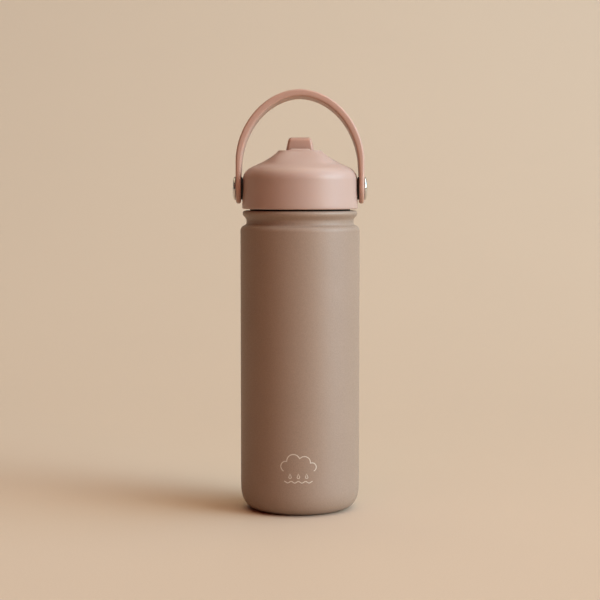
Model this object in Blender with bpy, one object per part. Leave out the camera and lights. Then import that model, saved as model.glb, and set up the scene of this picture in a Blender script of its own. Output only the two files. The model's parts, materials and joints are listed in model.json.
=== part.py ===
# A child's insulated drinks bottle: a double-walled steel flask, a screw lid with a folding
# straw spout, and a carry handle that swings on two side pivots.
# Metres, +Z up. The origin is the centre of the base, and the front faces -Y.

import math

import bmesh
import bpy
from mathutils import Matrix, Vector

MM = 0.001

# Steel flask
BODY_RADIUS = 36.5 * MM
SHELL_WALL = 0.7 * MM
BASE_FLAT_RADIUS = 22.0 * MM  # outer edge of the flat ring that the bottle stands on
BASE_OPENING_RADIUS = 19.5 * MM
BASE_CURVE_HEIGHT = 18.0 * MM
BASE_CURVE_POWER = 3.0  # superellipse power of the base corner
SHOULDER_Z = 171.2 * MM
SHOULDER_RADIUS = 3.4 * MM
GROOVE_RADIUS = 32.8 * MM
GROOVE_LOW_Z = 175.6 * MM
GROOVE_HIGH_Z = 177.4 * MM
COLLAR_RADIUS = 35.1 * MM
RIM_Z = 183.5 * MM
RIM_ROUNDING = 1.7 * MM
FLASK_RADIUS = 33.0 * MM
FLASK_NECK_RADIUS = 31.75 * MM
FLASK_FLOOR_Z = 8.0 * MM
FLASK_CORNER = 11.0 * MM
FLASK_CONE = (160.0 * MM, 166.0 * MM)  # heights between which the flask narrows to its neck
NECK_THREAD_CREST = 30.5 * MM
NECK_THREAD_Z = 170.5 * MM
THREAD_PITCH = 5.0 * MM
THREAD_TURNS = 1.6

# Lid
LID_Z = 184.5 * MM
LID_RADIUS = 35.4 * MM
LID_WALL = 2.2 * MM
SKIRT_TOP = (35.0 * MM, 202.0 * MM)
SHOULDER_END = (29.0 * MM, 210.25 * MM)
PLATEAU_RADIUS = 12.95 * MM
PLATEAU_Z = 220.0 * MM
PLUG_RADIUS = 29.3 * MM
PLUG_WALL = 2.5 * MM
PLUG_Z = 167.0 * MM
PLUG_THREAD_CREST = 30.3 * MM
PLUG_THREAD_Z = 169.5 * MM
FLANGE_Z = (185.0 * MM, 187.1 * MM)
FLANGE_RADIUS = 32.6 * MM
GASKET_Z = (181.3 * MM, 184.8 * MM)
GASKET_RADIUS = 30.65 * MM
TUBE_RADIUS = 7.0 * MM
TUBE_BORE = 5.0 * MM
STRAW_RADIUS = 3.75 * MM
STRAW_BORE = 2.75 * MM
STRAW_FOOT_Z = 13.0 * MM
INSERT_BORE = 1.8 * MM
INSERT_RADIUS = 2.8 * MM
INSERT_REACH = (30.1 * MM, 34.6 * MM)  # the two ends, from the bottle's axis
LIP_FRONT = 12.9 * MM
LIP_TOP = 221.1 * MM
LIP_HALF_WIDTH = 8.4 * MM
VALVE_HEAD_RADIUS = 5.9 * MM
VALVE_NECK_RADIUS = 5.0 * MM
VALVE_STEM_RADIUS = 4.6 * MM
VALVE_BEND_Z = 199.5 * MM
VALVE_LOW_Z = 190.0 * MM

# Spout, in its closed position, pointing to the rear
SPOUT_AXIS = (2.0 * MM, 217.2 * MM)  # y and z of the hinge line
SPOUT_BORE = 2.6 * MM
KNUCKLE_RADIUS = 9.0 * MM
HEEL_Y = -8.9 * MM
HEEL_TOP = 10.7 * MM
SPOUT_LENGTH = 29.0 * MM
SPOUT_HALF_WIDTH = 8.3 * MM
POCKET_HALF_WIDTH = 8.8 * MM
POCKET_RADIUS = 13.4 * MM
POCKET_FLOOR_Z = 207.7 * MM
CHANNEL_FLOOR_Z = 214.2 * MM
HOUSING_WALL = 1.6 * MM
SPOUT_PIN_RADIUS = 1.5 * MM

# Handle
PIVOT_Z = 197.0 * MM
HANDLE_LEAN = math.radians(4.0)
ARCH_HALF_WIDTH = 39.1 * MM
ARCH_CENTRE_Z = 16.2 * MM  # above the pivot
ARCH_RISE = 43.7 * MM
ARCH_POWER = 1.91
STRAP_WIDTH = 18.0 * MM
STRAP_THIN = 3.0 * MM
STRAP_THICK = 4.45 * MM
STRAP_ROUNDING = 1.3 * MM
EYE_RADIUS = 9.3 * MM
SHOULDER_PIN_RADIUS = 2.6 * MM
SCREW_HEAD_RADIUS = 7.25 * MM
SCREW_HEAD_HEIGHT = 1.9 * MM
HEAD_POWER = 2.3  # superellipse power of the head's rounded side

GAP = 0.3 * MM  # between pieces that touch
BIG_STEPS = 36
SMALL_STEPS = 20


def clear_scene():
    for old in list(bpy.data.objects):
        bpy.data.objects.remove(old, do_unlink=True)


def finish(name, colour, roughness, metallic=0.0):
    material = bpy.data.materials.new(name)
    material.use_nodes = True
    shader = material.node_tree.nodes["Principled BSDF"]
    shader.inputs["Base Color"].default_value = (*colour, 1.0)
    shader.inputs["Roughness"].default_value = roughness
    shader.inputs["Metallic"].default_value = metallic
    return material


def arc(centre, radius, start, end, count):
    """Points on an arc, with the angles in degrees from the first axis."""
    angles = [math.radians(start + (end - start) * i / count) for i in range(count + 1)]
    return [(centre[0] + radius * math.cos(a), centre[1] + radius * math.sin(a)) for a in angles]


def bezier(a, b, c, d, count):
    """Points on a cubic curve from a to d, with a itself left out."""
    found = []
    for i in range(1, count + 1):
        t = i / count
        weights = ((1 - t) ** 3, 3 * t * (1 - t) ** 2, 3 * t * t * (1 - t), t**3)
        found.append(tuple(sum(w * p[k] for w, p in zip(weights, (a, b, c, d))) for k in (0, 1)))
    return found


def offset(outline, distance):
    """The outline moved to its left by the distance, square to each point's neighbours."""
    moved = []
    for i, here in enumerate(outline):
        before = Vector(outline[max(i - 1, 0)])
        after = Vector(outline[min(i + 1, len(outline) - 1)])
        along = (after - before).normalized()
        moved.append((here[0] - along.y * distance, here[1] + along.x * distance))
    return moved


def base_corner(count):
    """The base's rounded corner, from the flat ring out to the straight wall."""
    depth = BODY_RADIUS - BASE_FLAT_RADIUS
    points = []
    for i in range(count + 1):
        a = math.pi / 2 * i / count
        points.append(
            (
                BASE_FLAT_RADIUS + depth * math.sin(a) ** (2 / BASE_CURVE_POWER),
                BASE_CURVE_HEIGHT * (1 - math.cos(a) ** (2 / BASE_CURVE_POWER)),
            )
        )
    return points


def neck_flare(count):
    """The S-shaped wall from the groove out to the collar."""
    low, high = GROOVE_HIGH_Z, RIM_Z - RIM_ROUNDING
    points = []
    for i in range(count + 1):
        t = i / count
        rise = (1 - math.cos(math.pi * t)) / 2
        points.append((GROOVE_RADIUS + (COLLAR_RADIUS - GROOVE_RADIUS) * rise, low + (high - low) * t))
    return points


def shell_outline(fine):
    """The outer shell's outside, with more points where it is seen than on its hidden face."""
    corner, shoulder, flare, rim = (7, 3, 4, 2) if fine else (4, 2, 3, 1)
    rim_centre = (COLLAR_RADIUS - RIM_ROUNDING, RIM_Z - RIM_ROUNDING)
    return [
        (BASE_OPENING_RADIUS, 0.0),
        *base_corner(corner),
        *arc((BODY_RADIUS - SHOULDER_RADIUS, SHOULDER_Z), SHOULDER_RADIUS, 0, 82, shoulder),
        (GROOVE_RADIUS + 0.1 * MM, GROOVE_LOW_Z),
        *neck_flare(flare),
        *arc(rim_centre, RIM_ROUNDING, 90 - 30 * rim, 90, rim),
        (FLASK_NECK_RADIUS + 0.35 * MM, RIM_Z),
    ]


def lid_outline():
    """The lid's outer surface, from the skirt's lower edge to the edge of the flat top."""
    edge = 0.9 * MM
    corner = (PLATEAU_RADIUS, PLATEAU_Z - 0.25 * MM)
    return [
        (LID_RADIUS - edge, LID_Z),
        (LID_RADIUS - 0.3 * edge, LID_Z + 0.3 * edge),
        (LID_RADIUS, LID_Z + edge),
        SKIRT_TOP,
        *bezier(SKIRT_TOP, (35.0 * MM, 205.6 * MM), (32.9 * MM, 208.57 * MM), SHOULDER_END, 5),
        *bezier(SHOULDER_END, (22.5 * MM, 213.05 * MM), (15.6 * MM, 216.8 * MM), corner, 5),
        (PLATEAU_RADIUS - 0.5 * MM, PLATEAU_Z),
    ]


def pocket_outline(margin):
    """The side view of the room that the spout turns in, grown outwards by the margin."""
    y, z = SPOUT_AXIS
    floor = POCKET_FLOOR_Z - margin
    radius = POCKET_RADIUS + margin
    low = math.degrees(math.asin((z - floor) / radius))
    top = 240 * MM
    ramp = y + KNUCKLE_RADIUS + GAP + margin
    rear = 50 * MM
    return [
        (y - radius, top),
        *arc((y, z), radius, 180, 180 + low, 5),
        (ramp - 1.5 * MM, floor),
        (ramp, floor + 2.5 * MM),
        (ramp, CHANNEL_FLOOR_Z - margin),
        (rear, CHANNEL_FLOOR_Z - margin),
        (rear, top),
    ]


def spout_outline():
    """The spout's side view about its hinge line: flat heel, sloping top, tip and round knuckle."""
    tip_top, tip_low = 6.0 * MM, -0.9 * MM
    rounding = 2.1 * MM
    under = -2.4 * MM
    heel_low = math.degrees(math.asin(math.sqrt(1 - (HEEL_Y / KNUCKLE_RADIUS) ** 2)))
    under_angle = math.degrees(math.asin(under / KNUCKLE_RADIUS))
    return [
        *arc((HEEL_Y + rounding, HEEL_TOP - rounding), rounding, 180, 95, 3),
        *arc((SPOUT_LENGTH - rounding, tip_top - rounding), rounding, 80, 0, 3),
        *arc((SPOUT_LENGTH - rounding, tip_low + rounding), rounding, 0, -90, 3),
        (22.0 * MM, tip_low),
        (16.0 * MM, under),
        *arc((0, 0), KNUCKLE_RADIUS, under_angle, heel_low - 180, 8),
    ]


def turned(outline, steps=BIG_STEPS, closed=True):
    """An outline of (radius, height) spun about the Z axis. An open one ends on the axis."""
    bm = bmesh.new()
    points = [bm.verts.new((r, 0, z)) for r, z in outline]
    ends = points[1:] + points[:1] if closed else points[1:]
    edges = [bm.edges.new(pair) for pair in zip(points, ends)]
    bmesh.ops.spin(
        bm, geom=points + edges, cent=(0, 0, 0), axis=(0, 0, 1), angle=math.tau, steps=steps, use_merge=True
    )
    return bm


def blade(outline, half_width):
    """A side view of (y, z) given a width along X."""
    bm = bmesh.new()
    face = bm.faces.new([bm.verts.new((-half_width, y, z)) for y, z in outline])
    grown = bmesh.ops.extrude_face_region(bm, geom=[face])["geom"]
    moved = [v for v in grown if isinstance(v, bmesh.types.BMVert)]
    bmesh.ops.translate(bm, vec=(2 * half_width, 0, 0), verts=moved)
    return bm


def loft(rings):
    """A closed skin over rings of equally many points."""
    bm = bmesh.new()
    loops = [[bm.verts.new(point) for point in ring] for ring in rings]
    for low, high in zip(loops, loops[1:]):
        for i in range(len(low)):
            j = (i + 1) % len(low)
            bm.faces.new((low[i], low[j], high[j], high[i]))
    bm.faces.new(loops[0][::-1])
    bm.faces.new(loops[-1])
    return bm


def rod(radius, start, end, steps=SMALL_STEPS):
    """A cylinder between two points."""
    start, end = Vector(start), Vector(end)
    turn = (end - start).to_track_quat("Z", "Y").to_matrix().to_4x4()
    bm = bmesh.new()
    bmesh.ops.create_cone(
        bm,
        cap_ends=True,
        segments=steps,
        radius1=radius,
        radius2=radius,
        depth=(end - start).length,
        matrix=Matrix.Translation((start + end) / 2) @ turn,
    )
    return bm


def thread(root, crest, low_z, steps_per_turn=BIG_STEPS):
    """A helical ridge that fades in and out at its ends."""
    height = 1.0 * MM
    rings = []
    count = int(THREAD_TURNS * steps_per_turn)
    skew = 0.07  # keeps the ridge's corners off the wall's own facet edges
    for i in range(count + 1):
        a = math.tau * i / steps_per_turn + skew
        z = low_z + THREAD_PITCH * i / steps_per_turn
        full = min(1.0, 0.15 + i / 5, 0.15 + (count - i) / 5)
        peak = root + (crest - root) * full
        ring = ((root, z - height), (peak, z - 0.4 * height), (peak, z + 0.4 * height), (root, z + height))
        rings.append([(r * math.cos(a), r * math.sin(a), h) for r, h in ring])
    return loft(rings)


def place(name, bm, material, parent=None, location=(0, 0, 0), rotation=(0, 0, 0)):
    bmesh.ops.remove_doubles(bm, verts=bm.verts, dist=1e-7)
    bmesh.ops.recalc_face_normals(bm, faces=bm.faces)
    bmesh.ops.triangulate(bm, faces=[face for face in bm.faces if len(face.verts) > 4])
    mesh = bpy.data.meshes.new(name)
    bm.to_mesh(mesh)
    bm.free()
    mesh.shade_smooth()
    mesh.set_sharp_from_angle(angle=math.radians(35))
    mesh.materials.append(material)
    piece = bpy.data.objects.new(name, mesh)
    bpy.context.collection.objects.link(piece)
    piece.parent = parent
    piece.location = location
    piece.rotation_euler = rotation
    return piece


def tool(name, bm, parent=None, location=(0, 0, 0), rotation=(0, 0, 0)):
    """A hidden body that a Boolean works with."""
    helper = place(name, bm, None, parent, location, rotation)
    helper.hide_render = True
    helper.display_type = "WIRE"
    return helper


def combine(piece, other, operation):
    modifier = piece.modifiers.new(other.name, "BOOLEAN")
    modifier.operation = operation
    modifier.object = other
    modifier.solver = "EXACT"


def frame_empty(name, location=(0, 0, 0), parent=None, rotation=(0, 0, 0)):
    empty = bpy.data.objects.new(name, None)
    bpy.context.collection.objects.link(empty)
    empty.parent = parent
    empty.location = location
    empty.rotation_euler = rotation
    return empty


def make_outer_shell(coat):
    """The coated outer wall, open at the base and at the mouth."""
    inside = offset(shell_outline(fine=False), SHELL_WALL)
    place("outer_shell", turned(shell_outline(fine=True) + inside[::-1]), coat)


def make_inner_flask(steel):
    """The food-side wall: flat floor, round corner, straight side, neck and rolled thread."""
    corner_z = FLASK_FLOOR_Z + FLASK_CORNER
    outer = [
        *arc((FLASK_RADIUS - FLASK_CORNER, corner_z), FLASK_CORNER, -90, 0, 6),
        (FLASK_RADIUS, FLASK_CONE[0]),
        (FLASK_NECK_RADIUS, FLASK_CONE[1]),
        (FLASK_NECK_RADIUS, RIM_Z - 0.2 * MM),
    ]
    inner = offset(outer, SHELL_WALL)[::-1]
    outline = [(0, FLASK_FLOOR_Z), *outer, *inner, (0, FLASK_FLOOR_Z + SHELL_WALL)]
    flask = place("inner_flask", turned(outline, closed=False), steel)
    wall = FLASK_NECK_RADIUS - SHELL_WALL / 2
    ridge = tool("flask_thread", thread(wall, NECK_THREAD_CREST, NECK_THREAD_Z))
    combine(flask, ridge, "UNION")


def make_base(coat, steel, glass, getter_metal):
    """The vacuum-tight base plate with its seal and getter, and the cover disc under them."""
    wall = SHELL_WALL
    flange, riser, dish = SHELL_WALL + GAP, BASE_OPENING_RADIUS + 0.5 * MM, 2.6 * MM
    hole = 1.2 * MM
    edge = BASE_FLAT_RADIUS + 1.5 * MM
    plate = [
        (hole, dish),
        (riser, dish),
        (riser + 0.3 * MM, flange),
        (edge, flange),
        (edge, flange + wall),
        (riser + 1.0 * MM, flange + wall),
        (riser + 0.7 * MM, dish + wall),
        (hole, dish + wall),
    ]
    place("base_plate", turned(plate), steel)
    bead = [
        (0, dish - 1.2 * MM),
        (1.8 * MM, dish - 1.1 * MM),
        (3.0 * MM, dish - GAP),
        (hole - GAP, dish - GAP),
        (hole - GAP, dish + wall),
        (0, dish + wall),
    ]
    place("vacuum_seal", turned(bead, SMALL_STEPS, closed=False), glass)

    getter_x, getter_radius, getter_low = 10 * MM, 5 * MM, dish + wall + GAP
    getter_high = getter_low + 2.0 * MM
    place("getter", rod(getter_radius, (getter_x, 0, getter_low), (getter_x, 0, getter_high)), getter_metal)
    thin, foot, half_width = 0.4 * MM, 3.0 * MM, 2.0 * MM
    inside = getter_radius + GAP
    top = getter_high + GAP
    strip = [
        (-inside - foot, getter_low),
        (-inside, getter_low),
        (-inside, top),
        (inside, top),
        (inside, getter_low),
        (inside + foot, getter_low),
        (inside + foot, getter_low + thin),
        (inside + thin, getter_low + thin),
        (inside + thin, top + thin),
        (-inside - thin, top + thin),
        (-inside - thin, getter_low + thin),
        (-inside - foot, getter_low + thin),
    ]
    place("getter_clip", blade(strip, half_width), steel, location=(getter_x, 0, 0))

    cover_radius = BASE_OPENING_RADIUS - GAP
    cover = [
        (0, 0.35 * MM),
        (cover_radius - 0.3 * MM, 0.35 * MM),
        (cover_radius, 0.6 * MM),
        (cover_radius, 0.95 * MM),
        (0, 0.95 * MM),
    ]
    place("base_cover", turned(cover, closed=False), coat)


def make_gasket(dark_silicone, parent):
    inner = PLUG_RADIUS - 0.4 * MM
    low, high = GASKET_Z
    soft = 0.5 * MM
    ring = [
        (inner, low),
        (GASKET_RADIUS - soft, low),
        (GASKET_RADIUS, low + soft),
        (GASKET_RADIUS, high - soft),
        (GASKET_RADIUS - soft, high),
        (inner, high),
    ]
    place("neck_gasket", turned(ring), dark_silicone, parent)


def make_lid_shell(plastic, parent):
    """The outer moulding: skirt, ogee top, spout pocket with its front lip, and pivot bosses."""
    outer = lid_outline()
    solid = [(0, LID_Z), *outer, (0, PLATEAU_Z)]
    shell = place("lid_shell", turned(solid, closed=False), plastic, parent)

    ledge_z = 187.4 * MM
    below = LID_Z - 5 * MM
    skirt_bore, ledge_bore = 33.0 * MM, 32.4 * MM
    inside = [p for p in offset(outer, LID_WALL) if p[1] > SKIRT_TOP[1] - 1 * MM and p[0] < ledge_bore]
    hollow = [
        (0, below),
        (skirt_bore, below),
        (skirt_bore, ledge_z),
        (ledge_bore, ledge_z),
        *inside,
        (0, PLATEAU_Z - LID_WALL),
    ]
    cavity = tool("lid_cavity", turned(hollow, closed=False), parent)
    housing = tool(
        "spout_housing", blade(pocket_outline(HOUSING_WALL), POCKET_HALF_WIDTH + HOUSING_WALL), parent
    )
    combine(cavity, housing, "DIFFERENCE")
    for side, name in ((-1, "boss_left"), (1, "boss_right")):
        ends = (side * 28.5 * MM, 0, PIVOT_Z), (side * 40 * MM, 0, PIVOT_Z)
        combine(cavity, tool(name, rod(5.2 * MM, *ends), parent), "DIFFERENCE")
    combine(shell, cavity, "DIFFERENCE")

    lip = blade(
        [
            (-LIP_FRONT, PLATEAU_Z - 2 * MM),
            (-LIP_FRONT, LIP_TOP - 1.0 * MM),
            (-LIP_FRONT + 0.6 * MM, LIP_TOP),
            (-LIP_FRONT + 3.9 * MM, LIP_TOP),
            (-LIP_FRONT + 3.9 * MM, PLATEAU_Z - 2 * MM),
        ],
        LIP_HALF_WIDTH,
    )
    for vertex in lip.verts:
        if vertex.co.z > LIP_TOP - 0.5 * MM:
            vertex.co.x -= math.copysign(1.0 * MM, vertex.co.x)
    combine(shell, tool("front_lip", lip, parent), "UNION")
    pocket = tool("spout_pocket", blade(pocket_outline(0.0), POCKET_HALF_WIDTH), parent)
    combine(shell, pocket, "DIFFERENCE")

    y, z = SPOUT_AXIS
    seat = rod(VALVE_HEAD_RADIUS + 0.4 * MM, (0, y, POCKET_FLOOR_Z - 1.0 * MM), (0, y, POCKET_FLOOR_Z + 3 * MM))
    combine(shell, tool("valve_seat", seat, parent), "DIFFERENCE")
    way = rod(VALVE_NECK_RADIUS + GAP, (0, y, POCKET_FLOOR_Z - 5 * MM), (0, y, POCKET_FLOOR_Z + 2 * MM))
    combine(shell, tool("valve_way", way, parent), "DIFFERENCE")
    pin_reach = POCKET_HALF_WIDTH + 1.5 * MM
    pins = rod(SPOUT_PIN_RADIUS + 0.1 * MM, (-pin_reach, y, z), (pin_reach, y, z))
    combine(shell, tool("spout_pin_way", pins, parent), "DIFFERENCE")
    for side, name in ((-1, "insert_way_left"), (1, "insert_way_right")):
        ends = (side * (INSERT_REACH[0] - GAP), 0, PIVOT_Z), (side * 40 * MM, 0, PIVOT_Z)
        combine(shell, tool(name, rod(INSERT_RADIUS + GAP, *ends), parent), "DIFFERENCE")


def make_plug(plastic, foam_white, parent):
    """The threaded plug with its flange, the cap that closes it from below, and the foam between."""
    bore = PLUG_RADIUS - PLUG_WALL
    groove = PLUG_RADIUS - 0.7 * MM
    flange_low, flange_high = FLANGE_Z
    groove_z = GASKET_Z[0] - GAP
    cup = [
        (bore, PLUG_Z),
        (PLUG_RADIUS - 0.6 * MM, PLUG_Z),
        (PLUG_RADIUS, PLUG_Z + 0.6 * MM),
        (PLUG_RADIUS, groove_z),
        (groove, groove_z),
        (groove, flange_low),
        (FLANGE_RADIUS, flange_low),
        (FLANGE_RADIUS, flange_high),
        (bore, flange_high),
    ]
    plug = place("threaded_plug", turned(cup), plastic, parent)
    ridge = tool("plug_thread", thread(PLUG_RADIUS - 0.4 * MM, PLUG_THREAD_CREST, PLUG_THREAD_Z), parent)
    combine(plug, ridge, "UNION")

    cap_top, tube_top = PLUG_Z + 1.8 * MM, 200.0 * MM
    disc = bore - GAP
    lower = [
        (TUBE_BORE, PLUG_Z),
        (disc, PLUG_Z),
        (disc, cap_top),
        (TUBE_RADIUS, cap_top),
        (TUBE_RADIUS, tube_top),
        (TUBE_BORE, tube_top),
    ]
    cap = place("plug_cap", turned(lower, SMALL_STEPS), plastic, parent)
    vent_y = -16 * MM
    vent_way = rod(1.5 * MM, (0, vent_y, PLUG_Z - 2 * MM), (0, vent_y, PLUG_Z + 5 * MM), 12)
    combine(cap, tool("vent_way", vent_way, parent), "DIFFERENCE")

    foam_low, foam_high = PLUG_Z + 4.6 * MM, 184.5 * MM
    ring = [
        (TUBE_RADIUS + GAP, foam_low),
        (disc, foam_low),
        (disc, foam_high),
        (TUBE_RADIUS + GAP, foam_high),
    ]
    place("insulation_foam", turned(ring, SMALL_STEPS), foam_white, parent)
    return vent_y


def make_straw(straw_plastic, silicone, parent):
    """The straw, and the soft socket that grips it under the plug."""
    socket_low, socket_high = PLUG_Z - 3.0 * MM, PLUG_Z + 11 * MM
    grip = STRAW_RADIUS + 0.15 * MM
    sleeve = [
        (grip, socket_low),
        (6.4 * MM, socket_low),
        (6.4 * MM, PLUG_Z - GAP),
        (TUBE_BORE - GAP, PLUG_Z - GAP),
        (TUBE_BORE - GAP, socket_high),
        (grip, socket_high),
    ]
    place("straw_socket", turned(sleeve, SMALL_STEPS), silicone, parent)
    tube = [
        (STRAW_BORE, STRAW_FOOT_Z),
        (STRAW_RADIUS, STRAW_FOOT_Z),
        (STRAW_RADIUS, socket_high - 1 * MM),
        (STRAW_BORE, socket_high - 1 * MM),
    ]
    place("straw", turned(tube, SMALL_STEPS), straw_plastic, parent)


def make_vent_valve(silicone, vent_y, parent):
    """An umbrella valve that lets air in as the drink goes out."""
    stem, cup = 1.2 * MM, 3.4 * MM
    outline = [
        (0, PLUG_Z - 1.2 * MM),
        (cup, PLUG_Z - 0.9 * MM),
        (cup, PLUG_Z - GAP),
        (stem, PLUG_Z - GAP),
        (stem, PLUG_Z + 2.1 * MM),
        (2.1 * MM, PLUG_Z + 2.2 * MM),
        (stem, PLUG_Z + 3.8 * MM),
        (0, PLUG_Z + 3.8 * MM),
    ]
    place("vent_valve", turned(outline, 16, closed=False), silicone, parent, (0, vent_y, 0))


def make_spout_valve(silicone, parent):
    """The soft seat under the spout: a flat head, and a stem that leans back to the centre tube."""
    y = SPOUT_AXIS[0]
    head_top, head_low = POCKET_FLOOR_Z + 0.25 * MM, POCKET_FLOOR_Z - 0.7 * MM
    neck_z, flow = POCKET_FLOOR_Z - 2.2 * MM, 2.4 * MM
    levels = (
        (head_top, VALVE_HEAD_RADIUS, y),
        (head_low, VALVE_HEAD_RADIUS, y),
        (head_low, VALVE_NECK_RADIUS, y),
        (neck_z, VALVE_NECK_RADIUS, y),
        (VALVE_BEND_Z, VALVE_STEM_RADIUS, 0),
        (VALVE_LOW_Z, VALVE_STEM_RADIUS, 0),
    )
    outside = loft([ring_at(z, r, middle) for z, r, middle in levels])
    valve = place("spout_valve", outside, silicone, parent)
    drop = (head_top + MM, y), (neck_z, y), (VALVE_BEND_Z, 0), (VALVE_LOW_Z - MM, 0)
    inside = loft([ring_at(z, flow, middle) for z, middle in drop])
    combine(valve, tool("valve_flow", inside, parent), "DIFFERENCE")


def ring_at(z, radius, y, count=SMALL_STEPS):
    angles = [math.tau * i / count for i in range(count)]
    return [(radius * math.cos(a), y + radius * math.sin(a), z) for a in angles]


def make_spout(plastic, parent):
    """The folding mouthpiece. Its origin lies on the hinge line."""
    bm = blade(spout_outline(), SPOUT_HALF_WIDTH)
    flare_z, top_half, tip_half = 4.0 * MM, 7.0 * MM, 7.0 * MM
    for vertex in bm.verts:
        up = min(max((vertex.co.z - flare_z) / (HEEL_TOP - flare_z), 0.0), 1.0)
        out = min(max(vertex.co.y / SPOUT_LENGTH, 0.0), 1.0)
        half = SPOUT_HALF_WIDTH + (top_half - SPOUT_HALF_WIDTH) * up
        half = min(half, SPOUT_HALF_WIDTH + (tip_half - SPOUT_HALF_WIDTH) * out)
        vertex.co.x = math.copysign(half, vertex.co.x)
    sides = [e for e in bm.edges if e.verts[0].co.x * e.verts[1].co.x > 0]
    bmesh.ops.bevel(
        bm, geom=sides, offset=1.0 * MM, offset_type="OFFSET", affect="EDGES", segments=2, profile=0.5, material=-1
    )
    spout = place("spout", bm, plastic, parent)
    bore = rod(SPOUT_BORE, (0, -12 * MM, -0.2 * MM), (0, 33 * MM, 2.5 * MM))
    combine(spout, tool("spout_bore", bore, parent), "DIFFERENCE")
    for side, name in ((-1, "trunnion_way_left"), (1, "trunnion_way_right")):
        ends = (side * 4.4 * MM, 0, 0), (side * 12 * MM, 0, 0)
        way = rod(SPOUT_PIN_RADIUS + 0.1 * MM, *ends)
        combine(spout, tool(name, way, parent), "DIFFERENCE")


def make_spout_pins(steel, parent):
    y, z = SPOUT_AXIS
    for side, name in ((-1, "spout_pin_left"), (1, "spout_pin_right")):
        ends = (side * 4.7 * MM, 0, 0), (side * 10.0 * MM, 0, 0)
        place(name, rod(SPOUT_PIN_RADIUS, *ends), steel, parent, (0, y, z))


def arch_point(t):
    """A point on the handle's outer curve, and the outward direction there, for t from 0 to 1."""
    angle = math.pi * t
    c, s = math.cos(angle), math.sin(angle)
    power = 2 / ARCH_POWER
    x = ARCH_HALF_WIDTH * math.copysign(abs(c) ** power, c)
    z = ARCH_CENTRE_Z + ARCH_RISE * s**power
    slope_x = math.copysign(abs(x / ARCH_HALF_WIDTH) ** (ARCH_POWER - 1), x) / ARCH_HALF_WIDTH
    slope_z = ((z - ARCH_CENTRE_Z) / ARCH_RISE) ** (ARCH_POWER - 1) / ARCH_RISE
    return Vector((x, 0, z)), Vector((slope_x, 0, slope_z)).normalized()


def strap_ring(point, outward, half_width):
    """The strap's rounded section at a point of its outer face."""
    rise = (point.z - 6 * MM) / (33 * MM)
    grown = math.sin(math.pi / 2 * min(max(rise, 0.0), 1.0))
    thick = STRAP_THIN + (STRAP_THICK - STRAP_THIN) * grown
    rounding = min(STRAP_ROUNDING, 0.45 * half_width)
    ring = []
    corners = ((0, 1, 0), (-1, 1, 90), (-1, -1, 180), (0, -1, 270))
    for inner, side, start in corners:
        centre_n = inner * thick + (rounding if inner else -rounding)
        centre_y = side * (half_width - rounding)
        for i in range(3):
            a = math.radians(start + 45 * i)
            n = centre_n + rounding * math.cos(a)
            y = centre_y + rounding * math.sin(a)
            ring.append(point + outward * n + Vector((0, y, 0)))
    return ring


def make_handle(plastic, parent):
    """The bail: two straight legs with round eyes, joined by the arch. Its origin is the pivot."""
    half = STRAP_WIDTH / 2
    eye = [math.radians(a) for a in (78, 66, 52, 38, 24, 10)]
    leg = [(-EYE_RADIUS * math.sin(a), EYE_RADIUS * math.cos(a)) for a in eye]
    leg += [(0.0, EYE_RADIUS), (5 * MM, EYE_RADIUS - 0.1 * MM), (11 * MM, half)]
    rings = []
    for z, width in leg:
        rings.append(strap_ring(Vector((ARCH_HALF_WIDTH, 0, z)), Vector((1, 0, 0)), width))
    count = 24
    for i in range(count + 1):
        rings.append(strap_ring(*arch_point(i / count), half))
    for z, width in reversed(leg):
        rings.append(strap_ring(Vector((-ARCH_HALF_WIDTH, 0, z)), Vector((-1, 0, 0)), width))
    handle = place("handle", loft(rings), plastic, parent)
    reach = ARCH_HALF_WIDTH + 5 * MM
    way = rod(SHOULDER_PIN_RADIUS + 0.1 * MM, (-reach, 0, 0), (reach, 0, 0))
    combine(handle, tool("pivot_way", way, parent), "DIFFERENCE")


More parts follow.
